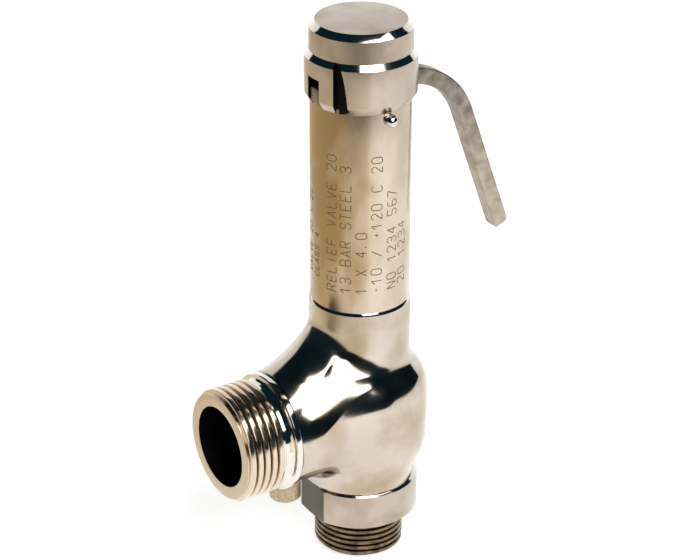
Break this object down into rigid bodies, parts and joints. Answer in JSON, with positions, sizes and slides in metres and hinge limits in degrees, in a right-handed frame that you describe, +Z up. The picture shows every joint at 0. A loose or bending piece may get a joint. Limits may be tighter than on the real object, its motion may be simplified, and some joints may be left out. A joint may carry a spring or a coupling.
{
  "type": "pressure relief valve",
  "caption": "Angle-pattern spring-loaded relief valve in stainless steel with threaded inlet and outlet, long turned bonnet, cap and squeeze-type lift lever.",
  "frame": {"origin": "on the valve axis, in the end face of the inlet nozzle", "axes": "+Z up along the valve axis from inlet to cap, -X out of the outlet, +X towards the lift lever's handle, +Y completes the right-handed frame"},
  "size_m": [0.0987, 0.0402, 0.1668],
  "materials": {
    "polished_cast_steel": "cast stainless steel, mirror polished",
    "satin_turned_steel": "stainless steel, fine turned and satin polished",
    "turned_steel": "stainless steel, machined",
    "tumbled_steel": "stainless steel, tumbled matte",
    "polished_steel": "stainless steel, polished ball head",
    "spring_steel": "stainless spring steel, drawn",
    "bronze": "bearing bronze, machined",
    "gasket_ptfe": "white PTFE gasket",
    "seal_ptfe": "white PTFE disc seal"
  },
  "bodies": {
    "housing": {"valve_body": "polished_cast_steel", "inlet_nozzle": "turned_steel", "nozzle_gasket": "gasket_ptfe", "bonnet": "satin_turned_steel", "bonnet_gasket": "gasket_ptfe", "guide_bush": "bronze", "guide_circlip": "spring_steel", "relief_spring": "spring_steel", "upper_spring_plate": "turned_steel", "adjusting_screw": "turned_steel", "adjusting_lock_nut": "turned_steel", "lock_pin": "polished_steel", "lever_cap": "satin_turned_steel"},
    "stem": {"valve_disc": "turned_steel", "disc_seal": "seal_ptfe", "seal_washer": "turned_steel", "seal_screw": "turned_steel", "disc_pin": "turned_steel", "spindle": "turned_steel", "spindle_circlip": "spring_steel", "lower_spring_plate": "turned_steel", "lift_head": "turned_steel", "lift_head_nut": "turned_steel", "lift_cross_pin": "turned_steel"},
    "lever": {"lift_lever": "tumbled_steel"}
  },
  "joints": [
    {"name": "stem_lift", "type": "slide", "parent": "housing", "child": "stem", "axis": [0, 0, 1], "range_m": [0, 0.00134], "stiffness_N_per_m": 9900, "springref_m": -0.0048, "deforming": ["relief_spring"]},
    {"name": "lever_squeeze", "type": "hinge", "parent": "housing", "child": "lever", "pos_m": [0.014, 0, 0.1444], "axis": [0, 1, 0], "range_deg": [0, 5.5]}
  ],
  "couplings": [
    {"joint": "lever_squeeze", "follows": "stem_lift", "rad_per_m": 71.429}
  ]
}
